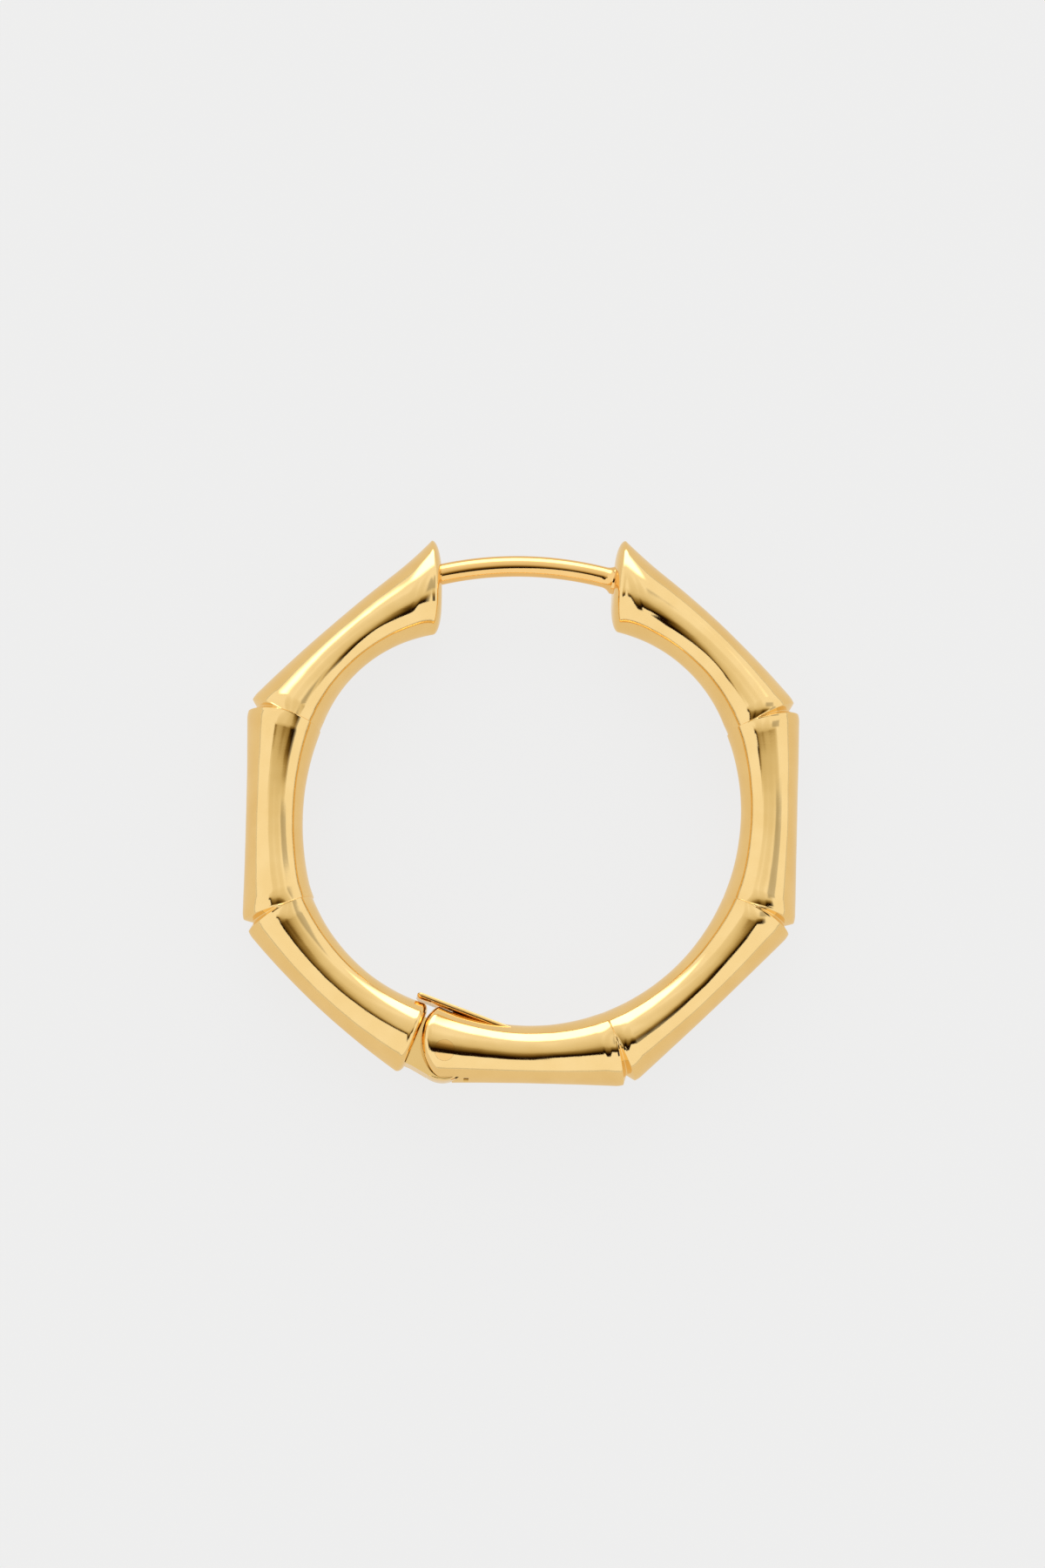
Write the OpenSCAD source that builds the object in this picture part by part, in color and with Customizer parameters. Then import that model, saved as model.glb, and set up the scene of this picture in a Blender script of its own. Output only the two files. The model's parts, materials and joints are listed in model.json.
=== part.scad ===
// Hinged hoop earring in bamboo form, lying flat with its hinge pin along Z.
// The ring is an octagon with its top side open: seven bamboo lengths outside, one round
// opening inside. An arched ear post closes the gap. All sizes are in millimetres.

/* [Ring] */
// Distance from the ring's centre to the middle of an outer side
side_r = 12.4; // [12.3:0.1:12.8]
// Radius of the round opening
inner_r = 9.8; // [9.6:0.05:9.9]
// Depth, front to back, at the waist of a bamboo length
waist_depth = 2.74; // [2.5:0.02:3]
// Power that shapes the section across its thickness, where 1 gives an ellipse
thick_power = 0.91; // [0.85:0.01:1]
// Power that shapes the section's depth, where 1 gives an ellipse
depth_power = 1.22; // [1:0.02:1.3]

/* [Notches] */
// Half the opening angle of a filed notch at the outer side, seen from the ring's centre
groove_half = 1.1; // [0.9:0.1:1.3]
// Depth of the filed notch at the outer side
groove_depth = 0.31; // [0.15:0.02:0.4]
// Angle over which a lip rolls down to its notch
lip_round = 2.8; // [2.2:0.1:3]
// How far a lip rolls down at the outer side
lip_drop = 0.2; // [0.1:0.02:0.26]

/* [End caps] */
// Rise of the domed caps beside the ear post
cap_rise = 0.42; // [0.2:0.02:0.46]
// Share of a cap that is flat inside its rolled rim
cap_flat = 0.38; // [0.3:0.02:0.6]
// How much depth a length loses as it rolls over to its cap
cap_roll = 0.3; // [0.1:0.02:0.36]
// How far the outer tip of a capped length flares past the line of its side
tip_flare = 0.21; // [0:0.01:0.25]

/* [Ear post] */
// Diameter of the post's wire
post_d = 0.95; // [0.8:0.05:1]
// Radius of the arch that the post follows
arch_r = 15.8; // [15.2:0.1:16.4]
// Height of the top of the arch above the ring's centre
arch_top = 11.51; // [11.49:0.01:11.53]
// Diameter of the solder fillet at the post's fixed end
fillet_d = 1.3; // [1.2:0.05:1.5]
// Length of post that sits in its socket when the hoop is shut
engagement = 0.5; // [0.3:0.05:0.55]
// Diameter of the socket
socket_d = 1.16; // [1.14:0.02:1.3]

/* [Hinge] */
// Diameter of the hinge pin
pin_d = 0.9; // [0.7:0.05:1]
// Radial clearance of the pin in the tongue, which turns on it
pin_play = 0.04; // [0.02:0.01:0.08]
// Radial clearance of the pin in the two cheeks, which hold it
pin_seat = 0.01; // [0.01:0.01:0.03]
// Radius of the tongue's round end
tongue_r = 1.2; // [1.1:0.05:1.2]
// Thickness of the tongue
tongue_t = 1.15; // [0.9:0.05:1.3]
// Clearance between the tongue and each cheek
cheek_gap = 0.05; // [0.03:0.01:0.1]
// How far the knuckle at the hinge bulges past its end line
knuckle_bow = 0.66; // [0.4:0.02:0.7]

/* [Snap spring] */
// Thickness of the leaf
leaf_t = 0.2; // [0.15:0.01:0.22]
// Width of the leaf, front to back
leaf_w = 1.4; // [1.2:0.1:1.8]
// Slope of the leaf, rising towards its free tip
leaf_slope = 20.5; // [20.5:0.5:23]

/* [Hidden] */

$fn = 48;

// Columns of the two tables of bamboo lengths. Angles are in degrees, counter-clockwise from +X.
FACE = 0;  // way the outer side faces
START = 1; // outer and inner angle of the end met first
END = 2;   // outer and inner angle of the end met last
OUTER = 3; // how far the outer side lies off side_r at its start, middle and end
INNER = 4; // how far the inner side lies off inner_r at its start, middle and end
APEX = 5;  // where the notch at its end runs out, as a share of the thickness from inside
CREST = 6; // how far its crest lies off the middle of the thickness, as a share of it
LIPS = 7;  // half its depth at its first and last lip

HINGE_LENGTHS = [
    [135, [108.3, 116.6], [158.8, 158.8], [-0.69, -0.19, -0.1], [-0.6, 0.05, 0.05], 0.5, -0.045,
        [1.81, 1.83]],
    [180, [158.8, 158.8], [203.3, 203.3], [0.1, 0.08, 0.19], [0.05, 0.12, 0.46], 0.4, 0, [1.88, 1.7]],
    [225, [203.3, 203.3], [244.3, 243.2], [0.29, 0.45, -0.02], [0.46, 0.42, 0.04], 0, -0.05, [1.72, 1.77]],
];
POST_LENGTHS = [
    [270, [254, 247.6], [291.2, 291.2], [-0.05, -0.06, 0.05], [-0.17, -0.06, 0.01], 0.33, 0, [1.74, 1.795]],
    [315, [291.2, 291.2], [336.7, 336.7], [-0.2, -0.03, 0.02], [0, 0.01, 0.02], 0.3, -0.03, [1.795, 1.78]],
    [360, [336.7, 336.7], [381.7, 381.7], [-0.1, 0.08, 0.26], [0.02, 0.11, 0.25], 0.26, -0.03,
        [1.78, 1.745]],
    [405, [381.7, 381.7], [429.7, 422.6], [0.1, 0.31, -0.2], [0.25, 0.32, -0.25], 0, -0.035, [1.745, 1.78]],
];

waist_half = waist_depth / 2;
crest_at_lips = -0.045; // the crest's place at every lip, as in the CREST column
leaning = 3;            // an end whose outer and inner angles differ by more leans
flare_start = 0.8;      // share of a capped length at which its outer side starts to flare
roll_start = 0.87;      // share of a capped length at which its depth starts to shrink
knuckle_share = 0.3;    // share of the first length over which the knuckle bulges
notch_reach = 2;        // degrees from a notch's middle to where its lips fan out
notch_clear = 3.4;      // degrees from a notch's middle to where they have gone back
NOTCH_TURNS = [-2.8, -1.9, -1.25, -0.8, -0.4, 0, 0.4, 0.8, 1.25, 1.9, 2.8];
least_spread = 0.12;    // the notch's sections keep this share of their spread inside its apex
groove_floor = 1.12;    // over 1, so that the groove has a narrow flat bottom
lip_front_share = 0.55; // share of lip_drop that is left where the groove runs out
SIDE_SHARES = [0, 0.06, 0.13, 0.25, 0.4, 0.6, 0.75, 0.87, 0.94, 1]; // places of a length's sections
cap_steps = 5;          // sections that roll an end over to its flat middle

// Outline of the ring's section. Columns: share of the thickness from inside, share of the
// half depth, and the two parts of the outward direction.
SHARE = 0;
DEPTH = 1;
OUTWARD = 2;
FORWARD = 3;
outline_points = 44;
OUTLINE = [for (i = [0 : outline_points - 1])
    let (t = 360 * i / outline_points)
    [(1 + signed_power(cos(t), thick_power)) / 2, signed_power(sin(t), depth_power), cos(t), sin(t)]];

function signed_power(x, power) = sign(x) * pow(abs(x), power);
function polar(r, a) = [r * cos(a), r * sin(a)];
function between(a, b, v) = a + (b - a) * v;
function clip(x, low, high) = min(high, max(low, x));
function smooth(t) = t * t * (3 - 2 * t);

// A value that runs smoothly through list[0], list[1] and list[2] as v goes from 0 to 1
function through(list, v) =
    list[0] + (4 * list[1] - 3 * list[0] - list[2]) * v
    + 2 * (list[0] + list[2] - 2 * list[1]) * v * v;

// How near v is to a capped end, from 0 at a share of the length to 1 at the end
function toward_cap(row, v, start) =
    let (
        at_last = row[END][0] - row[END][1] > leaning,
        at_first = row[START][1] - row[START][0] > leaning,
        share = at_last ? v : at_first ? 1 - v : 0
    )
    max(0, (share - start) / (1 - start));

// How far a section bulges at the knuckle, which is the first end of the post's side
function bow(row, v) =
    row[START][0] - row[START][1] > leaning ? -knuckle_bow * pow(max(0, 1 - v / knuckle_share), 2) : 0;

// How deep a notch is at an angle off its middle, where share is the share of the thickness
function notch_cut(off, share, apex) =
    let (
        open = max(0, (share - apex) / (1 - apex)),
        groove = open == 0 ? 0 : clip(groove_floor - off / (groove_half * open), 0, 1) * open,
        at_lip = smooth(clip((share - apex + 0.12) / 0.25, 0, 1)),
        roll = pow(clip(1 - off / lip_round, 0, 1), 2) * at_lip
    )
    groove_depth * groove + lip_drop * roll * between(lip_front_share, 1, open);

// One closed section of the ring. turn is its angle from the middle of a notch whose apex is
// given, if it is in one; shrink and rise shape an end.
function section(row, v, turn = undef, apex = 0, shrink = 1, rise = 0) =
    let (
        out_a = between(row[START][0], row[END][0], v),
        in_a = between(row[START][1], row[END][1], v),
        side = (side_r + through(row[OUTER], v)) / cos(out_a - row[FACE]),
        outer = polar(side + tip_flare * pow(toward_cap(row, v, flare_start), 2), out_a),
        inner = polar(inner_r + through(row[INNER], v), in_a),
        thick = norm(outer - inner),
        along = (outer - inner) / thick,
        across = [-along.y, along.x],
        lips = row[LIPS],
        from_middle = 2 * v - 1,
        half = between(waist_half, (lips[0] + lips[1]) / 2, pow(from_middle, 2))
            + (lips[1] - lips[0]) / 2 * from_middle - cap_roll * pow(toward_cap(row, v, roll_start), 2),
        crest = between(row[CREST], crest_at_lips, pow(from_middle, 2)),
        in_notch = !is_undef(turn),
        fan = in_notch ? turn * min(1, (notch_clear - abs(turn)) / (notch_clear - notch_reach)) : 0
    )
    [for (p = OUTLINE)
        let (
            x = 0.5 + (p[SHARE] - 0.5 + crest * pow(p[FORWARD], 2)) * shrink,
            closed = in_notch ? 1 - clip((x - apex) / (1 - apex), least_spread, 1) : 0,
            cut = in_notch ? notch_cut(abs(turn - fan * closed), x, apex) : 0,
            aside = 4 * bow(row, v) * x * (1 - x) + rise
                - fan * PI / 180 * (norm(inner) + thick * x) * closed,
            at = inner + along * (thick * x - cut * p[OUTWARD]) + across * aside
        )
        [at.x, at.y, half * p[DEPTH] * shrink - cut * p[FORWARD]]];

// The section at an angle from the notch between two lengths, each half on its own length
function notch_section(row, next, turn) =
    let (
        ours = section(row, 1 + turn / (row[END][0] - row[START][0]), turn, row[APEX]),
        theirs = section(next, turn / (next[END][0] - next[START][0]), turn, row[APEX])
    )
    turn < 0 ? ours : turn > 0 ? theirs : (ours + theirs) / 2;

// The sections that roll an end over. An end is a rise and a flat share; way is 1 at a last end.
function end_sections(row, v, end, way) =
    [for (i = [1 : cap_steps])
        let (a = 90 * i / cap_steps)
        section(row, v, shrink = 1 - (1 - end[1]) * (1 - cos(a)), rise = way * end[0] * sin(a))];

function reversed(list) = [for (i = [len(list) - 1 : -1 : 0]) list[i]];
function middle(ring) = [for (p = ring) 1] * ring / len(ring);

// All sections of an arm, from its first end to its last
function arm_sections(rows, first_end, last_end) =
    let (n = len(rows) - 1)
    concat(
        reversed(end_sections(rows[0], 0, first_end, -1)),
        [for (i = [0 : n])
            let (
                row = rows[i],
                clear = (notch_clear + 0.4) / (row[END][0] - row[START][0]),
                first = i == 0 ? 0 : clear,
                last = i == n ? 1 : 1 - clear
            )
            each concat(
                [for (share = SIDE_SHARES) section(row, between(first, last, share))],
                i == n ? [] : [for (turn = NOTCH_TURNS) notch_section(row, rows[i + 1], turn)]
            )],
        end_sections(rows[n], 1, last_end, 1)
    );

cap_end = [cap_rise, cap_flat];
joint_end = [0.3, 0.74]; // rise and flat share of the two ends that meet at the hinge
POST_RINGS = arm_sections(POST_LENGTHS, joint_end, cap_end);
HINGE_RINGS = arm_sections(HINGE_LENGTHS, cap_end, joint_end);

// The ring's centre from the origin, which is under the middle of the whole outline
function reach(k, way) = max([for (ring = concat(POST_RINGS, HINGE_RINGS), p = ring) way * p[k]]);
ring_at = [(reach(0, -1) - reach(0, 1)) / 2, (reach(1, -1) - reach(1, 1)) / 2, reach(2, 1)];

// A closed skin over rings of equal length, with a point at the middle of each end
module skin(rings) {
    m = len(rings[0]);
    n = len(rings);
    points = concat([for (ring = rings) each ring], [middle(rings[0]), middle(rings[n - 1])]);
    sides = [for (j = [0 : n - 2], i = [0 : m - 1])
        let (
            a = j * m + i,
            b = j * m + (i + 1) % m,
            c = a + m,
            d = b + m
        )
        each [[a, b, c], [b, d, c]]];
    ends = [for (i = [0 : m - 1])
        let (k = (i + 1) % m)
        each [[n * m, k, i], [n * m + 1, (n - 1) * m + i, (n - 1) * m + k]]];
    polyhedron(points = points, faces = concat(sides, ends), convexity = 8);
}

// Ear post. X positions are from the ring's centre.
arch_at = [0, arch_top - arch_r]; // centre of the arch, from the ring's centre
post_left = -3.72 - engagement;   // the free tip
post_right = 4.75;                // the end buried in the arm
fillet_x = 3.85;                  // where the fillet starts
fillet_length = 0.6;
fillet_start_d = post_d - 0.1;    // the fillet starts inside the wire

function arch_turn(x) = acos((x - arch_at.x) / arch_r);

// The stretch of the arch between two X positions, with diameter d
module arch(x0, x1, d) {
    translate([arch_at.x, arch_at.y, 0])
        rotate([0, 0, arch_turn(x1)])
            rotate_extrude(angle = arch_turn(x0) - arch_turn(x1), $fn = 360)
                translate([arch_r, 0])
                    circle(d = d, $fn = 32);
}

// Puts a child's +Z along the arch, towards +X, at position x
module along_arch(x) {
    turn = arch_turn(x);
    at = arch_at + polar(arch_r, turn);
    translate([at.x, at.y, 0])
        rotate([0, 0, turn - 90])
            rotate([0, 90, 0])
                children();
}

module ear_post() {
    arch(post_left, post_right, post_d);
    along_arch(fillet_x)
        cylinder(d1 = fillet_start_d, d2 = fillet_d, h = fillet_length, $fn = 32);
}

// Socket for the post's free tip
socket_end = [-4.82, 11]; // middle of the socket's bottom, from the ring's centre
socket_length = 2.1;      // past the cap's surface, so that it opens there

module socket() {
    translate([socket_end.x, socket_end.y, 0])
        rotate([0, 90, 0])
            cylinder(d = socket_d, h = socket_length);
}

// Hinge
pin_at = [-3.57, -11.11]; // from the ring's centre
pin_half = 1.64;          // the pin's ends are flush with the cheeks
bore_half = 3;            // past both faces of the ring
slot_t = tongue_t + 2 * cheek_gap;
slot_r = tongue_r + 0.06; // sweep of the tongue's round end
slot_low = [-2.9, -3];    // corners of the open part of the slot, from the pin
slot_high = [0.4, 3.5];
nick_low = [0.9, -1.6];   // small nick beyond the slot, in the arm's outer side, from the pin
nick_high = [1.12, -1.08];
nick_bottom = 0.1;        // above the middle of the ring's depth
tongue_edge = 0.08;       // bevel round the tongue
// Side of the tongue where it joins its arm, from the pin
TONGUE_SIDE = [[0, 1.5], [-1.55, 1.7], [-2.85, 1.25], [-2.5, -0.1], [-1.43, -0.55], [-0.74, -0.95],
    [-0.3, -1.08]];

module pin_bore(d) {
    translate([pin_at.x, pin_at.y, -bore_half])
        cylinder(d = d, h = 2 * bore_half);
}

module hinge_slot() {
    translate([pin_at.x, pin_at.y, -slot_t / 2]) {
        cylinder(r = slot_r, h = slot_t);
        translate([slot_low.x, slot_low.y, 0])
            cube([slot_high.x - slot_low.x, slot_high.y - slot_low.y, slot_t]);
        translate([nick_low.x, nick_low.y, slot_t / 2 + nick_bottom])
            cube([nick_high.x - nick_low.x, nick_high.y - nick_low.y, slot_t / 2 - nick_bottom]);
    }
}

module tongue() {
    half = tongue_t / 2;
    translate([pin_at.x, pin_at.y, 0]) {
        rotate_extrude()
            polygon([
                [0, -half], [tongue_r - tongue_edge, -half], [tongue_r, tongue_edge - half],
                [tongue_r, half - tongue_edge], [tongue_r - tongue_edge, half], [0, half],
            ]);
        translate([0, 0, -half])
            linear_extrude(tongue_t)
                polygon(TONGUE_SIDE);
    }
}

// Snap spring
leaf_root = [0.95, -10.575]; // end of the leaf inside the arm, from the ring's centre
leaf_length = 6.07;
leaf_seat = 0.02;            // clearance round the leaf where the arm holds it

// The leaf's blade, grown by a clearance on each face
module leaf(grow = 0) {
    translate([leaf_root.x, leaf_root.y, 0])
        rotate([0, 0, 180 - leaf_slope])
            translate([-grow, -leaf_t / 2 - grow, -leaf_w / 2 - grow])
                cube([leaf_length + grow, leaf_t + 2 * grow, leaf_w + 2 * grow]);
}

// The arm that carries the ear post: lower, lower right, right and upper right lengths
module post_arm() {
    color("goldenrod")
        translate(ring_at)
            difference() {
                union() {
                    skin(POST_RINGS);
                    ear_post();
                }
                hinge_slot();
                pin_bore(pin_d + 2 * pin_seat);
                leaf(leaf_seat);
            }
}

// The arm that swings on the hinge: upper left, left and lower left lengths
module hinge_arm() {
    color("gold")
        translate(ring_at)
            difference() {
                union() {
                    skin(HINGE_RINGS);
                    tongue();
                }
                pin_bore(pin_d + 2 * pin_play);
                socket();
            }
}

// The pin through both cheeks and the tongue
module hinge_pin() {
    color("darkgoldenrod")
        translate(ring_at)
            translate([pin_at.x, pin_at.y, -pin_half])
                cylinder(d = pin_d, h = 2 * pin_half);
}

// The thin leaf that presses on the swinging arm's end
module snap_spring() {
    color("khaki")
        translate(ring_at)
            leaf();
}

post_arm();
hinge_arm();
hinge_pin();
snap_spring();
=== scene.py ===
import json
import math

import bpy
import numpy as np
from mathutils import Matrix, Vector, noise
from mathutils.bvhtree import BVHTree
from mathutils.interpolate import poly_3d_calc


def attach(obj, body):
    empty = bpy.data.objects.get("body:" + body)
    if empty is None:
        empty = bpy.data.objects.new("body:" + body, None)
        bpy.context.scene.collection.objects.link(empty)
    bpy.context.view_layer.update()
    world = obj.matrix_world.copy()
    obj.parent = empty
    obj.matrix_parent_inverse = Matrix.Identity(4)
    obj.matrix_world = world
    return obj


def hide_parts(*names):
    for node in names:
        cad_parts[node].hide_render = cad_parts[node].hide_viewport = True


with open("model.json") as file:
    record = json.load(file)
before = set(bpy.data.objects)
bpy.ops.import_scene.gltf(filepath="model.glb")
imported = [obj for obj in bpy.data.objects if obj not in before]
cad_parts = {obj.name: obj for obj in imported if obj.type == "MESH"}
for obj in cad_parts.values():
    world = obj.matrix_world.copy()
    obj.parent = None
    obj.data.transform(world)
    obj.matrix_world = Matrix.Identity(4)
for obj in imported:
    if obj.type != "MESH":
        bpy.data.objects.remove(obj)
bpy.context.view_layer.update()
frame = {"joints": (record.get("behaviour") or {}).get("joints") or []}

# Post arm
# The right-hand half of the hoop: four cast bamboo lengths with three filed notches, a domed
# cap beside the ear post and, at the hinge, a knuckle split by a slot into two cheeks.
# Cast brass, polished to a mirror and gold plated.

MM = 0.001
pin_x, pin_y, ring_z = (c / MM for c in frame["joints"][0]["pos_m"])
hinge_x, hinge_y = -3.57, -11.11  # the hinge pin, from the ring's centre
ring_x, ring_y = pin_x - hinge_x, pin_y - hinge_y  # the ring's centre, in millimetres

# Lengths are in millimetres and angles in degrees.
side_r = 12.4
inner_r = 9.8
waist_half = 1.37  # half the depth at the middle of a length
crest_at_lips = -0.045  # how far the crest lies off the middle there, as a share of the thickness
notch_reach = 2.0  # angle from a notch's middle to where its sides fan out most
fan_reach = 1.7 * notch_reach  # and to where they are straight again
groove_half = 1.1
groove_depth = 0.31
groove_flat = 1.12  # over 1, so that the groove has a narrow flat floor
groove_least = 0.03  # share of the groove's width that is left where it runs out
lip_round = 2.8  # angle over which a lip rolls down to its notch
lip_drop = 0.2
lip_drop_inside = 0.55  # share of that drop where the notch runs out
lip_start = 0.12  # how far inside that place a lip starts to roll, as a share of the thickness
lip_fade = 0.25  # and the share over which it gains its full roll
cap_rise = 0.42
cap_flat = 0.38  # share of a cap that is flat inside its rolled rim
cap_roll = 0.3  # how much depth a length loses as it rolls over to its cap
roll_start = 0.87  # share of a capped length at which it starts to roll
tip_flare = 0.21
flare_start = 0.8
knuckle_bow = 0.66
bow_share = 0.3  # share of the first length over which the knuckle's bow dies away
leaning = 3  # least angle between the outer and the inner corner of an end that isn't square

# One row a bamboo length: way it faces, outer and inner angle of its first and last end, how
# far its outer side lies off side_r and its inner side off inner_r at its start, middle and
# end, where the notch at its end runs out and how far its crest lies off the middle, as shares
# of the thickness, and half its depth at its first and last lip.
post_lengths = [
    (270, (254.0, 247.6), (291.2, 291.2), (-0.05, -0.06, 0.05), (-0.17, -0.06, 0.01),
     0.33, 0.0, (1.74, 1.795)),
    (315, (291.2, 291.2), (336.7, 336.7), (-0.2, -0.03, 0.02), (0.0, 0.01, 0.02),
     0.3, -0.03, (1.795, 1.78)),
    (360, (336.7, 336.7), (381.7, 381.7), (-0.1, 0.08, 0.26), (0.02, 0.11, 0.25),
     0.26, -0.03, (1.78, 1.745)),
    (405, (381.7, 381.7), (429.7, 422.6), (0.1, 0.31, -0.2), (0.25, 0.32, -0.25),
     0, -0.035, (1.745, 1.78)),
]
FACE, START, END, OUTER, INNER, APEX, CREST, LIPS = range(8)

# Outline of the ring's section, an oval that is fuller at its sides than at its crests, as
# shares of its thickness and half depth.
oval_points = 112
side_fullness, crest_fullness = 0.91, 1.22  # powers; under 1 is fuller than an ellipse
oval_turns = np.linspace(0, 2 * math.pi, oval_points, endpoint=False)
cosines, sines = np.cos(oval_turns), np.sin(oval_turns)
oval = np.column_stack(((1 + np.sign(cosines) * abs(cosines) ** side_fullness) / 2,
                        np.sign(sines) * abs(sines) ** crest_fullness))


def through(values, v):
    """A value that runs smoothly through three others as v goes from 0 to 1."""
    a, b, c = values
    return a + (4 * b - 3 * a - c) * v + 2 * (a + c - 2 * b) * v * v


def smooth(t):
    """Eases from 0 to 1 as t does."""
    t = min(1, max(0, t))
    return t * t * (3 - 2 * t)


def toward_cap(row, v, start):
    """How near v is to a capped end: 0 up to the share start of the length, 1 at the cap."""
    share = 0
    if row[END][0] - row[END][1] > leaning:
        share = v
    elif row[START][1] - row[START][0] > leaning:
        share = 1 - v
    return max(0, (share - start) / (1 - start))


def section(row, v, turn=None, apex=None, shrink=1.0, rise=0.0):
    """One closed section of the ring at the share v of a length.

    Near a notch, turn is its angle from the notch's middle and apex is where the notch runs
    out. At an arm's end, shrink and rise draw it in and push it out.
    """
    out_angle = math.radians(row[START][0] + (row[END][0] - row[START][0]) * v)
    in_angle = math.radians(row[START][1] + (row[END][1] - row[START][1]) * v)
    out_r = ((side_r + through(row[OUTER], v)) / math.cos(out_angle - math.radians(row[FACE]))
             + tip_flare * toward_cap(row, v, flare_start) ** 2)
    in_r = inner_r + through(row[INNER], v)
    outer = out_r * np.array((math.cos(out_angle), math.sin(out_angle)))
    inner = in_r * np.array((math.cos(in_angle), math.sin(in_angle)))
    thick = np.linalg.norm(outer - inner)
    along = (outer - inner) / thick
    across = np.array((-along[1], along[0]))

    from_middle = 2 * v - 1
    first_lip, last_lip = row[LIPS]
    half = (waist_half + ((first_lip + last_lip) / 2 - waist_half) * from_middle ** 2
            + (last_lip - first_lip) / 2 * from_middle
            - cap_roll * toward_cap(row, v, roll_start) ** 2)
    crest = row[CREST] + (crest_at_lips - row[CREST]) * from_middle ** 2
    x = 0.5 + (oval[:, 0] - 0.5 + crest * sines ** 2) * shrink
    at_knuckle = row[START][0] - row[START][1] > leaning
    bow = -knuckle_bow * max(0, 1 - v / bow_share) ** 2 if at_knuckle else 0
    aside = bow * 4 * x * (1 - x) + rise

    depth = 0
    if turn is not None:
        past_apex = np.clip((x - apex) / (1 - apex), groove_least, 1)
        fanned = turn * min(1, (fan_reach - abs(turn)) / (fan_reach - notch_reach))
        off = abs(turn - fanned * (1 - past_apex))
        groove = np.clip(groove_flat - off / (groove_half * past_apex), 0, 1) * past_apex
        at_lip = np.clip((x - apex + lip_start) / lip_fade, 0, 1)
        roll = np.clip(1 - off / lip_round, 0, 1) ** 2 * at_lip ** 2 * (3 - 2 * at_lip)
        drop = lip_drop * roll * (lip_drop_inside + (1 - lip_drop_inside) * past_apex)
        depth = groove_depth * groove + drop
        aside -= math.radians(fanned) * (np.linalg.norm(inner) + thick * x) * (1 - past_apex)
    flat = inner + np.outer(thick * x - depth * cosines, along) + np.outer(aside, across)
    return np.column_stack((flat, half * oval[:, 1] * shrink - depth * sines))


def end_sections(row, v, rise, flat, way):
    """The sections that roll an end over to its flat middle; way is 1 at an arm's last end."""
    per_end = 13
    turns = np.linspace(0, math.pi / 2, per_end + 1)[1:]
    return [section(row, v, shrink=1 - (1 - flat) * (1 - math.cos(a)),
                    rise=way * rise * math.sin(a)) for a in turns]


def arm_sections(rows, first_end, last_end):
    """All sections of an arm, from first end to last; an end is its rise and its flat share."""
    per_length, per_notch = 72, 91
    margin = 0.4  # angle between a notch's sections and a length's
    evenness = 0.4  # 1 would set a notch's sections evenly; less crowds them at its middle
    blend = 0.25  # share of notch_reach over which one length turns into the next
    last = len(rows) - 1
    sections = end_sections(rows[0], 0, *first_end, -1)[::-1]
    for i, row in enumerate(rows):
        span = row[END][0] - row[START][0]
        v0 = 0 if i == 0 else (fan_reach + margin) / span
        v1 = 1 if i == last else 1 - (fan_reach + margin) / span
        sections += [section(row, v) for v in np.linspace(v0, v1, per_length)]
        if i == last:
            break
        following = rows[i + 1]
        following_span = following[END][0] - following[START][0]
        for c in np.linspace(-1, 1, per_notch):
            turn = fan_reach * (evenness * c + (1 - evenness) * c ** 3)
            ours = section(row, (row[END][0] + turn - row[START][0]) / span, turn, row[APEX])
            theirs = section(following, turn / following_span, turn, row[APEX])
            mix = smooth((turn / notch_reach + blend) / (2 * blend))
            sections.append(ours * (1 - mix) + theirs * mix)
    return sections + end_sections(rows[last], 1, *last_end, 1)


def into_scene(name, data):
    """An object of a mesh or a camera, linked into the scene."""
    thing = bpy.data.objects.new(name, data)
    bpy.context.scene.collection.objects.link(thing)
    return thing


def skin(name, rings):
    """A closed piece over rings of points, which are in millimetres about the ring's centre.

    All rings have as many points. Each end is closed by a fan, and the faces look outward.
    """
    m, n = len(rings[0]), len(rings)
    spokes = rings[0] - rings[0].mean(0)
    facing = np.cross(spokes, np.roll(spokes, -1, 0)).sum(0)
    if facing @ (rings[1].mean(0) - rings[0].mean(0)) < 0:
        rings = rings[::-1]
    points = np.vstack(rings + [rings[0].mean(0), rings[-1].mean(0)])
    faces = [(j * m + i, j * m + (i + 1) % m, (j + 1) * m + (i + 1) % m, (j + 1) * m + i)
             for j in range(n - 1) for i in range(m)]
    faces += [(n * m, (i + 1) % m, i) for i in range(m)]
    faces += [(n * m + 1, (n - 1) * m + i, (n - 1) * m + (i + 1) % m) for i in range(m)]
    place = np.array((ring_x, ring_y, ring_z))
    mesh = bpy.data.meshes.new(name)
    mesh.from_pydata(((points + place) * MM).tolist(), [], faces)
    mesh.update()
    return into_scene(name, mesh)


noise.seed_set(4)  # the same hand finish each time


def hand_finish(points):
    """Moves points by a few thousandths of a millimetre, as hand polishing leaves a surface."""
    amount = 0.008
    broad, fine = 0.55, 1.7  # waves to the millimetre
    fine_share = 0.35
    for p in points:
        v = Vector(p)
        p += amount * np.array(noise.noise_vector(v * broad)
                               + fine_share * noise.noise_vector(v * fine))
    return points


def slab(name, outline_xy, low, high):
    """A straight prism on an outline, to cut or join with."""
    ring = np.array(outline_xy, float)
    rings = [np.column_stack((ring, np.full(len(ring), z))) for z in (high, low)]
    return skin(name, rings)


def drum_at_pin(name, radius, half):
    """A plain cylinder about the hinge pin, to cut with."""
    sides = 96
    turns = np.linspace(0, 2 * math.pi, sides, endpoint=False)
    outline = np.column_stack((hinge_x + radius * np.cos(turns), hinge_y + radius * np.sin(turns)))
    return slab(name, outline, -half, half)


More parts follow.
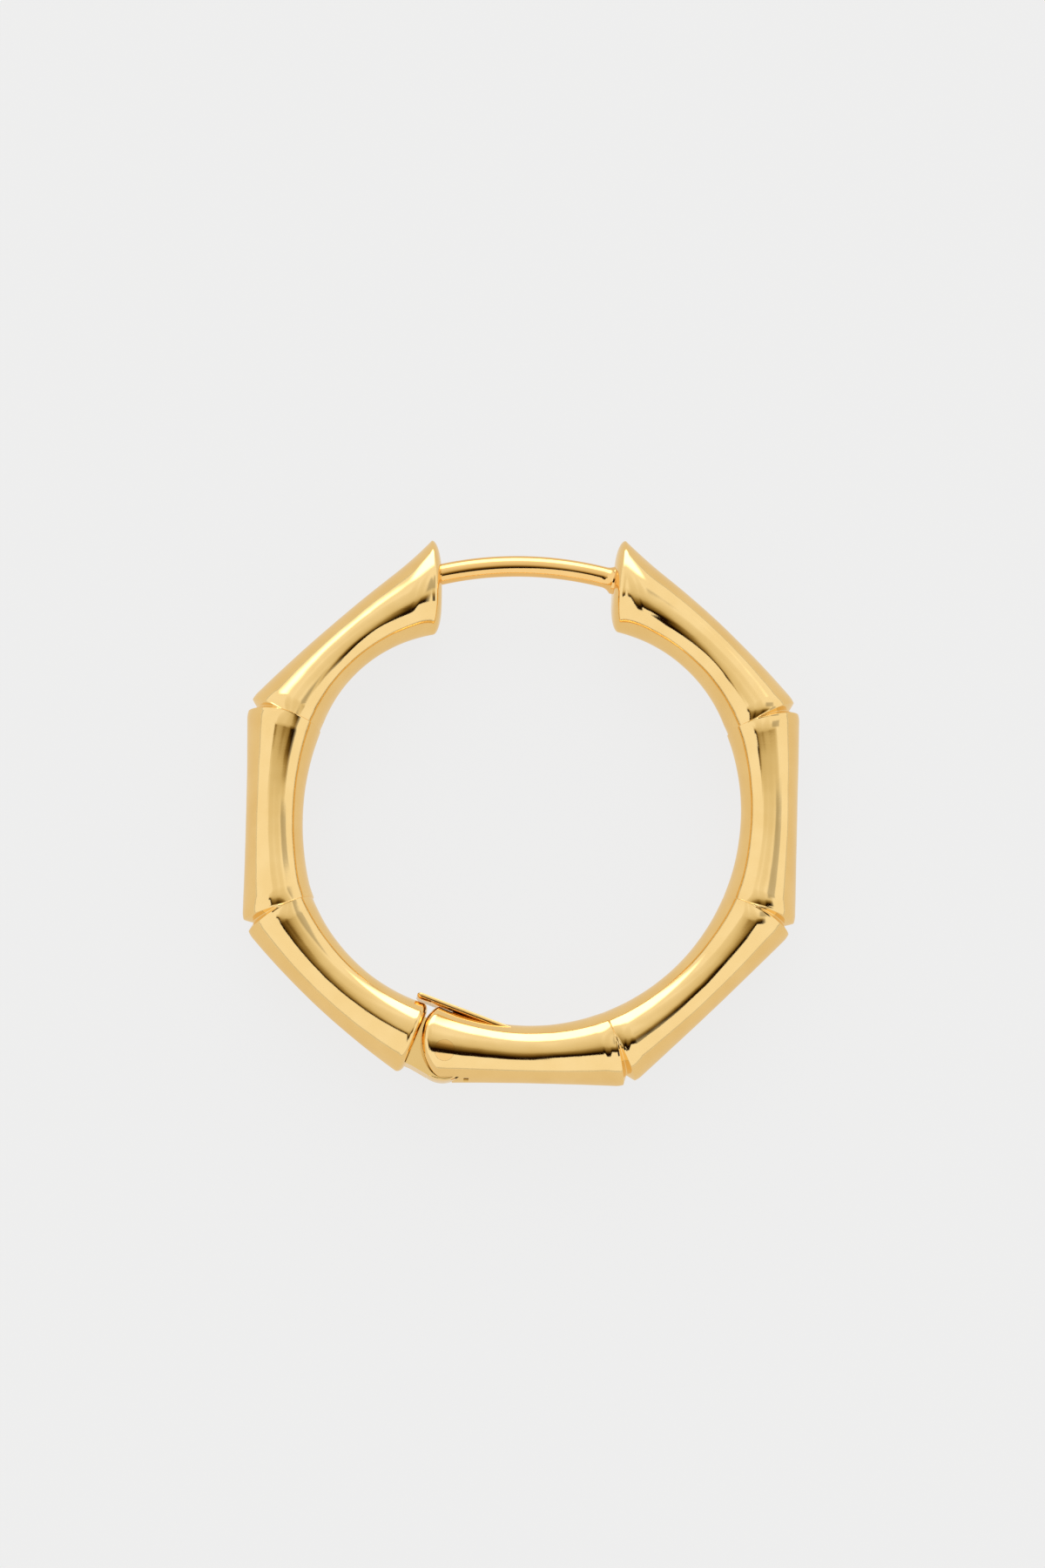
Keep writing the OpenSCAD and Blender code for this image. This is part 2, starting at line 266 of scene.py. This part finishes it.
def box_at_pin(left, right, low, high):
    """The corners of a rectangle whose sides are given from the hinge pin."""
    corners = (left, low), (right, low), (right, high), (left, high)
    return [(hinge_x + x, hinge_y + y) for x, y in corners]


def shape_with(piece, tool, how):
    """Cuts tool out of piece, joins it or keeps what both share, and takes the tool away."""
    change = piece.modifiers.new(how, "BOOLEAN")
    change.operation = how
    change.solver = "MANIFOLD"
    change.object = tool
    bpy.context.view_layer.update()
    shaped = piece.evaluated_get(bpy.context.evaluated_depsgraph_get())
    mesh = bpy.data.meshes.new_from_object(shaped)
    mesh.materials.clear()
    piece.modifiers.clear()
    piece.data = mesh
    bpy.data.objects.remove(tool)


def polish_shading(piece, angle=28):
    """Smooth shading with the true corners kept sharp."""
    piece.data.shade_smooth()
    piece.data.set_sharp_from_angle(angle=math.radians(angle))


def keep_skin(piece, blank):
    """Gives a cut piece the smooth normals of its uncut skin wherever its faces still lie on it."""
    near = 1e-6  # in metres
    same_way = 0.9  # cosine of the most that a face may turn from the skin
    uncut = BVHTree.FromPolygons([v.co.copy() for v in blank.vertices],
                                 [f.vertices[:] for f in blank.polygons])
    mesh = piece.data
    normals = [corner.vector.copy() for corner in mesh.corner_normals]
    for face in mesh.polygons:
        _, facing, _, gap = uncut.find_nearest(face.center)
        if gap > near or facing.dot(face.normal) < same_way:
            continue
        for k in face.loop_indices:
            corner = mesh.vertices[mesh.loops[k].vertex_index]
            place, _, index, _ = uncut.find_nearest(corner.co)
            round_it = [blank.vertices[j] for j in blank.polygons[index].vertices]
            shares = poly_3d_calc([v.co for v in round_it], place)
            blended = sum((v.normal * w for v, w in zip(round_it, shares)), Vector())
            normals[k] = blended.normalized()
    mesh.normals_split_custom_set(normals)


def set_stops(ramp, stops):
    """Fills a colour ramp, which has two stops to begin with, from rows of place and colour."""
    for k, (place, colour) in enumerate(stops):
        stop = ramp.elements[k] if k < 2 else ramp.elements.new(place)
        stop.position = place
        stop.color = (*colour, 1)


def gold(name, colour, roughness, scratch):
    """Polished gold plate: mirror bright, with cloudy plating, fine polishing lines and pits.

    The scratch is the depth of the polishing lines, in millimetres.
    """
    deep_share = (0.965, 0.94, 0.88)  # what the cloudy patches keep of the colour
    dull_share = 2.2  # how many times rougher the least polished patches are
    pit_depth = 0.0012
    material = bpy.data.materials.new(name)
    material.use_nodes = True
    nodes, links = material.node_tree.nodes, material.node_tree.links
    shader = nodes["Principled BSDF"]
    shader.inputs["Metallic"].default_value = 1.0
    where = nodes.new("ShaderNodeTexCoord")
    scale = nodes.new("ShaderNodeVectorMath")
    scale.operation = "SCALE"
    scale.inputs["Scale"].default_value = 1 / MM
    links.new(where.outputs["Object"], scale.inputs[0])

    def spots(size, detail, turn=None, stretch=None):
        """Cloudy noise with spots of a size in millimetres, turned and drawn out into lines."""
        texture = nodes.new("ShaderNodeTexNoise")
        texture.inputs["Scale"].default_value = 1 / size
        texture.inputs["Detail"].default_value = detail
        source = scale.outputs[0]
        if stretch:
            drawn = nodes.new("ShaderNodeMapping")
            drawn.inputs["Rotation"].default_value = turn
            drawn.inputs["Scale"].default_value = stretch
            links.new(source, drawn.inputs["Vector"])
            source = drawn.outputs[0]
        links.new(source, texture.inputs["Vector"])
        return texture.outputs["Fac"]

    def spread(source, stops, target):
        """Turns noise into a colour, or into a grey that stands for a value."""
        band = nodes.new("ShaderNodeValToRGB")
        set_stops(band.color_ramp, stops)
        links.new(source, band.inputs["Fac"])
        links.new(band.outputs["Color"], shader.inputs[target])

    def relief(height, depth, under=None):
        """Bumps of a depth in millimetres, over others."""
        bump = nodes.new("ShaderNodeBump")
        bump.inputs["Strength"].default_value = 0.5
        bump.inputs["Distance"].default_value = depth * MM
        links.new(height, bump.inputs["Height"])
        if under is not None:
            links.new(under, bump.inputs["Normal"])
        return bump.outputs[0]

    deeper = tuple(c * share for c, share in zip(colour, deep_share))
    duller = roughness * dull_share
    spread(spots(size=1.6, detail=4), [(0.35, deeper), (0.65, colour)], "Base Color")
    spread(spots(size=0.7, detail=5), [(0.3, (roughness,) * 3), (0.75, (duller,) * 3)],
           "Roughness")
    pits = relief(spots(size=0.06, detail=3), pit_depth)
    lines = spots(size=0.5, detail=6, turn=(0.5, 0.2, 0.9), stretch=(0.25, 9, 6))
    links.new(relief(lines, scratch, under=pits), shader.inputs["Normal"])
    return material


bright_gold = gold("bright_gold", (0.955, 0.69, 0.31), roughness=0.045, scratch=0.0006)

joint_end = (0.3, 0.74)  # rise and flat share of the two ends that meet at the hinge
cap_end = (cap_rise, cap_flat)
post_side = [hand_finish(ring) for ring in arm_sections(post_lengths, joint_end, cap_end)]
post_arm = skin("post_arm_gold", post_side)
post_blank = post_arm.data.copy()

tongue_r = 1.2
tongue_gap = 0.06
slot_half = 0.625
slot_round = drum_at_pin("slot_round", tongue_r + tongue_gap, slot_half)
shape_with(post_arm, slot_round, "DIFFERENCE")
slot_open = box_at_pin(left=-2.9, right=0.4, low=-3, high=3.5)
shape_with(post_arm, slab("slot_open", slot_open, -slot_half, slot_half), "DIFFERENCE")
file_nick = box_at_pin(left=0.9, right=1.12, low=-1.6, high=-1.08)
nick_low = 0.1
shape_with(post_arm, slab("file_nick", file_nick, nick_low, slot_half), "DIFFERENCE")
bore_r = 0.455
clear_z = 3  # past both faces of an arm
shape_with(post_arm, drum_at_pin("pin_bore", bore_r, clear_z), "DIFFERENCE")
polish_shading(post_arm)
keep_skin(post_arm, post_blank)
post_arm.data.materials.append(bright_gold)
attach(post_arm, "post_side")
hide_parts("post_arm")

# Hinge arm
# The left-hand half of the hoop: three bamboo lengths of the same casting, a domed cap with
# the socket that takes the ear post's tip, and the tongue that turns between the cheeks.
# Polished and plated like the post arm.

hinge_lengths = [
    (135, (108.3, 116.6), (158.8, 158.8), (-0.69, -0.19, -0.1), (-0.6, 0.05, 0.05),
     0.5, -0.045, (1.81, 1.83)),
    (180, (158.8, 158.8), (203.3, 203.3), (0.1, 0.08, 0.19), (0.05, 0.12, 0.46),
     0.4, 0.0, (1.88, 1.7)),
    (225, (203.3, 203.3), (244.3, 243.2), (0.29, 0.45, -0.02), (0.46, 0.42, 0.04),
     0, -0.05, (1.72, 1.77)),
]
hinge_side = [hand_finish(ring) for ring in arm_sections(hinge_lengths, cap_end, joint_end)]
hinge_arm = skin("hinge_arm_gold", hinge_side)
hinge_blank = hinge_arm.data.copy()

tongue_half = 0.575
bevel = 0.08
profile = [(tongue_r - bevel, tongue_half)]  # radius and height, round the tongue's upper edge
profile += [(tongue_r - bevel * (1 - math.sin(a)), tongue_half - bevel * (1 - math.cos(a)))
            for a in np.linspace(0.2, math.pi / 2, 6)]
profile += [(r, -z) for r, z in reversed(profile)]
circle = np.linspace(0, 2 * math.pi, 120, endpoint=False)
tongue = [np.array([(hinge_x + r * math.cos(a), hinge_y + r * math.sin(a), z) for a in circle])
          for r, z in profile]
shape_with(hinge_arm, skin("tongue_round", tongue), "UNION")
web = [(0, 1.5), (-1.55, 1.7), (-2.85, 1.25), (-2.5, -0.1),
       (-1.43, -0.55), (-0.74, -0.95), (-0.3, -1.08)]  # from the pin, round into the arm's end
web_xy = [(hinge_x + x, hinge_y + y) for x, y in web]
shape_with(hinge_arm, slab("tongue_web", web_xy, -tongue_half, tongue_half), "UNION")
hole_r = 0.49
shape_with(hinge_arm, drum_at_pin("pin_hole", hole_r, clear_z), "DIFFERENCE")

socket_r = 0.58
socket_x, socket_y = -4.82, 11.0  # the middle of its bottom
socket_length = 2.1  # past the cap's surface, so that it opens there
socket = [np.array([(x, socket_y + socket_r * math.cos(a), socket_r * math.sin(a))
                    for a in circle]) for x in (socket_x, socket_x + socket_length)]
shape_with(hinge_arm, skin("socket", socket), "DIFFERENCE")
polish_shading(hinge_arm)
keep_skin(hinge_arm, hinge_blank)
hinge_arm.data.materials.append(bright_gold)
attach(hinge_arm, "swing_side")
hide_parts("hinge_arm")

# Ear post
# The arched wire that goes through the ear: drawn gold wire, soldered into the post arm's
# cap, where a small fillet of solder shows, and free at its rounded tip.

wire_r = 0.475
arch_r = 15.8
arch_x, arch_y = 0.0, 11.51 - arch_r
wire_gold = gold("wire_gold", (0.95, 0.62, 0.245), roughness=0.04, scratch=0.0003)


def on_arch(x, radius):
    """A ring round the arch's centreline at position x."""
    sides = 48
    turn = math.acos((x - arch_x) / arch_r)
    out = np.array((math.cos(turn), math.sin(turn), 0))
    centre = np.array((arch_x, arch_y, 0)) + arch_r * out
    angles = np.linspace(0, 2 * math.pi, sides, endpoint=False)
    return centre + radius * (np.outer(np.cos(angles), out) + np.outer(np.sin(angles), (0, 0, 1)))


tip_x, root_x = -4.22, 4.5
tip_round = 0.12
wire = [on_arch(tip_x + tip_round * (1 - math.cos(a)),
                wire_r - tip_round + tip_round * math.sin(a))
        for a in np.linspace(0, math.pi / 2, 7)]
straight_from = tip_x + 0.14
fillet_r = 0.19
fillet_x, fillet_length = 3.72, 0.42  # where the solder starts to spread, and over what length
fillet_hollow = 2.2  # a power; the higher, the more hollow its curve
for x in np.linspace(straight_from, root_x, 120):
    solder = min(1, max(0, (x - fillet_x) / fillet_length))
    wire.append(on_arch(x, wire_r + fillet_r * solder ** fillet_hollow))
ear_post = skin("ear_post", wire)
polish_shading(ear_post, 40)
ear_post.data.materials.append(wire_gold)
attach(ear_post, "post_side")
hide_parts("post_arm")

# Hinge pin
# A short length of gold plated wire, a little thinner than the ear post, pressed through both
# cheeks and filed flush, so that only its faint ring shows on the polished cheek.

hinge_pin_r = 0.45
hinge_pin = into_scene("hinge_pin_gold", post_blank)
shape_with(hinge_pin, drum_at_pin("pin_wire", hinge_pin_r, clear_z), "INTERSECT")
polish_shading(hinge_pin, 40)
keep_skin(hinge_pin, post_blank)
hinge_pin.data.materials.append(wire_gold)
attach(hinge_pin, "post_side")
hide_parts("hinge_pin")

# Snap spring
# A thin leaf of rolled, gold plated brass, let into the lower bamboo length. Its free end
# rises over the hinge and presses on the other arm, which makes the hoop snap shut.

leaf_half_t, leaf_half_w = 0.1, 0.7
leaf_edge = 0.03  # the bevel along its edges
leaf_x, leaf_y, leaf_length = 0.95, -10.575, 6.07  # its root, from the ring's centre
leaf_slope = 20.5
least_end = 0.02  # so that its rounded end never closes to nothing
spring_gold = gold("spring_gold", (0.93, 0.62, 0.26), roughness=0.07, scratch=0.0012)
way = math.radians(180 - leaf_slope)
leaf = []
for s in np.linspace(0, leaf_length, 60):
    to_end = min(1, (leaf_length - s) / leaf_half_t)
    t = leaf_half_t * math.sqrt(max(least_end, 1 - (1 - to_end) ** 2))
    w = leaf_half_w
    corners = [(w - leaf_edge, t), (w, t - leaf_edge), (w, leaf_edge - t), (w - leaf_edge, -t)]
    loop = corners + [(-a, -b) for a, b in corners]
    leaf.append(np.array([(leaf_x + s * math.cos(way) - b * math.sin(way),
                           leaf_y + s * math.sin(way) + b * math.cos(way), a) for a, b in loop]))
snap_spring = skin("snap_spring_gold", leaf)
polish_shading(snap_spring, 50)
snap_spring.data.materials.append(spring_gold)
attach(snap_spring, "post_side")
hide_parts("snap_spring")

# Camera
# A long lens high above the hoop, leaning a little towards its hinge, as in the photograph.
# The picture is 1200 pixels wide, and the hoop shows at 25.4 of them to the millimetre.

lean = 12.5
bearing = -17.0
distance = 0.18
picture_width = 1200
pixels_per_mm = 25.4
picture_shift = (-0.4, 32.5)  # in pixels
sensor_width = 36
camera_data = bpy.data.cameras.new("camera")
camera_data.sensor_fit = "HORIZONTAL"
camera_data.sensor_width = sensor_width
camera_data.lens = sensor_width * distance / (picture_width / pixels_per_mm * MM)
camera_data.shift_x = picture_shift[0] / picture_width
camera_data.shift_y = picture_shift[1] / picture_width
camera = into_scene("camera", camera_data)
aim = Vector((ring_x, ring_y, ring_z)) * MM
round_up = math.radians(bearing)
off_up = math.radians(lean)
to_camera = Vector((math.sin(round_up) * math.sin(off_up), -math.cos(round_up) * math.sin(off_up),
                    math.cos(off_up)))
right = Vector((0, 1, 0)).cross(to_camera).normalized()
up = to_camera.cross(right)
rows = [(r, u, t, a + t * distance) for r, u, t, a in zip(right, up, to_camera, aim)]
camera.matrix_world = Matrix(rows + [(0, 0, 0, 1)])
bpy.context.scene.camera = camera

# Floor
# A plain pale lit table top, as wide as any view needs. It is white to the lens, and a little
# warmer where the gold mirrors it.

paper = 0.863
matt_share = 0.08
warm_white = (0.95, 0.87, 0.74, 1)
floor_half = 1.5
floor_mesh = bpy.data.meshes.new("floor")
floor_corners = [(x * floor_half, y * floor_half, 0)
                 for x, y in ((-1, -1), (1, -1), (1, 1), (-1, 1))]
floor_mesh.from_pydata(floor_corners, [], [(0, 1, 2, 3)])
floor = into_scene("floor", floor_mesh)
table = bpy.data.materials.new("table_top")
table.use_nodes = True
nodes, links = table.node_tree.nodes, table.node_tree.links
nodes.remove(nodes["Principled BSDF"])
lens_ray = nodes.new("ShaderNodeLightPath")
white = nodes.new("ShaderNodeMix")
white.data_type = "RGBA"
white.inputs[6].default_value = warm_white
white.inputs[7].default_value = (1, 1, 1, 1)
links.new(lens_ray.outputs["Is Camera Ray"], white.inputs[0])
glow = nodes.new("ShaderNodeEmission")
glow.inputs["Strength"].default_value = paper - matt_share
links.new(white.outputs[2], glow.inputs["Color"])
matt = nodes.new("ShaderNodeBsdfDiffuse")
matt.inputs["Color"].default_value = (matt_share, matt_share, matt_share, 1)
both = nodes.new("ShaderNodeAddShader")
links.new(glow.outputs[0], both.inputs[0])
links.new(matt.outputs[0], both.inputs[1])
links.new(both.outputs[0], nodes["Material Output"].inputs["Surface"])
floor_mesh.materials.append(table)

# Light
# Soft white paper all round, a key light low behind the hoop, and the dark opening in the
# paper that the lens looks through.

world = bpy.data.worlds.new("studio")
bpy.context.scene.world = world
world.use_nodes = True
tree = world.node_tree
sky = tree.nodes["Background"]


def calc(how, *values):
    """A math node on values that are numbers or other nodes' outputs."""
    node = tree.nodes.new("ShaderNodeMath")
    node.operation = how
    for k, value in enumerate(values):
        if isinstance(value, (int, float)):
            node.inputs[k].default_value = value
        else:
            tree.links.new(value, node.inputs[k])
    return node.outputs[0]


def plus_share(share, amount, base):
    """Adds an amount to base where share is 1, and less of it where share is less."""
    return calc("MULTIPLY_ADD", share, amount, base)


def step(value, low, high):
    """0 below low, 1 above high, and smooth between; falls instead where low is above high."""
    node = tree.nodes.new("ShaderNodeMapRange")
    node.interpolation_type = "SMOOTHSTEP"
    node.inputs["From Min"].default_value = min(low, high)
    node.inputs["From Max"].default_value = max(low, high)
    node.inputs["To Min"].default_value = 0 if low < high else 1
    node.inputs["To Max"].default_value = 1 if low < high else 0
    tree.links.new(value, node.inputs["Value"])
    return node.outputs["Result"]


def between(value, outer_low, low, high, outer_high):
    """1 from low to high, fading to 0 at the outer two."""
    return calc("MULTIPLY", step(value, outer_low, low), step(value, outer_high, high))


heading = tree.nodes.new("ShaderNodeTexCoord")
parts = tree.nodes.new("ShaderNodeSeparateXYZ")
tree.links.new(heading.outputs["Generated"], parts.inputs[0])
skyward = parts.outputs[2]


def share_along(axis):
    """How much of the heading lies along an axis."""
    shares = [calc("MULTIPLY", part, share) for part, share in zip(parts.outputs, axis)]
    return calc("ADD", calc("ADD", shares[0], shares[1]), shares[2])


least = 0.0001  # so that nothing is divided by 0

# Degrees to the right of and above the line that the camera looks back along.
side_share, up_share = share_along(right), share_along(up)
apart = calc("MULTIPLY", calc("ARCCOSINE", share_along(to_camera)), 180 / math.pi)
squares = [calc("MULTIPLY", share, share) for share in (side_share, up_share)]
flat_share = calc("MAXIMUM", calc("SQRT", calc("ADD", *squares)), least)
across = calc("DIVIDE", calc("MULTIPLY", apart, side_share), flat_share)
above = calc("DIVIDE", calc("MULTIPLY", apart, up_share), flat_share)

# The opening's lower rim lies higher at its middle and at both sides, and the dark fades upward
# from it.
opening_top = 14.0
rim_low = -27.0
right_rise, left_rise, middle_rise = 19.0, 32.0, 12.0
rim = plus_share(step(across, 14, 24), right_rise, rim_low)
rim = plus_share(step(across, -15, -27), left_rise, rim)
rim = plus_share(between(across, -7, 0, 1, 8), middle_rise, rim)
height = calc("DIVIDE", calc("SUBTRACT", above, rim), calc("SUBTRACT", opening_top, rim))
top_place = 0.5  # where the opening's top lies among the tones
tones = [(0.0, 1.0), (0.03, 0.01), (0.17, 0.01), (0.27, 0.14), (0.38, 0.36), (0.47, 0.66),
         (0.58, 0.8), (1.0, 1.0)]
green, blue = 1.25, 2  # powers that leave the darker tones browner
fade = tree.nodes.new("ShaderNodeValToRGB")
set_stops(fade.color_ramp, [(place, (tone, tone ** green, tone ** blue)) for place, tone in tones])
tree.links.new(calc("MULTIPLY", height, top_place), fade.inputs["Fac"])
opening_across = (-34, -29, 44, 50)
paler = -0.35  # what the dark loses toward the opening's right side
full_dark = plus_share(step(across, 36, 46), paler, 1.0)
opening = calc("MULTIPLY", full_dark, between(across, *opening_across))

# The key light, the dimmer band low on the horizon and a duller patch, each with where it starts,
# is full and ends, and what it adds to the plain paper's strength of 1.
key_above, key_across, key_strength = (56, 66, 96, 108), (-48, -30, 30, 46), 1.8
horizon_up, horizon_strength = (0.004, 0.012, 0.07, 0.085), -0.3
dull_above, dull_across, dull_strength = (16, 23, 34, 42), (26, 34, 54, 60), -0.4
key = calc("MULTIPLY", between(above, *key_above), between(across, *key_across))
horizon = between(skyward, *horizon_up)
dull = calc("MULTIPLY", between(above, *dull_above), between(across, *dull_across))
plain = plus_share(horizon, horizon_strength, plus_share(key, key_strength, 1.0))
plain = plus_share(dull, dull_strength, plain)

tint = tree.nodes.new("ShaderNodeMix")
tint.data_type = "RGBA"
tree.links.new(opening, tint.inputs[0])
tint.inputs[6].default_value = (1, 1, 1, 1)
tree.links.new(fade.outputs["Color"], tint.inputs[7])
seen = tree.nodes.new("ShaderNodeLightPath")
strength = tree.nodes.new("ShaderNodeMix")
tree.links.new(seen.outputs["Is Camera Ray"], strength.inputs[0])
tree.links.new(plain, strength.inputs[2])
strength.inputs[3].default_value = paper
tree.links.new(strength.outputs[0], sky.inputs["Strength"])
tree.links.new(tint.outputs[2], sky.inputs["Color"])
bpy.context.scene.view_settings.view_transform = "Standard"
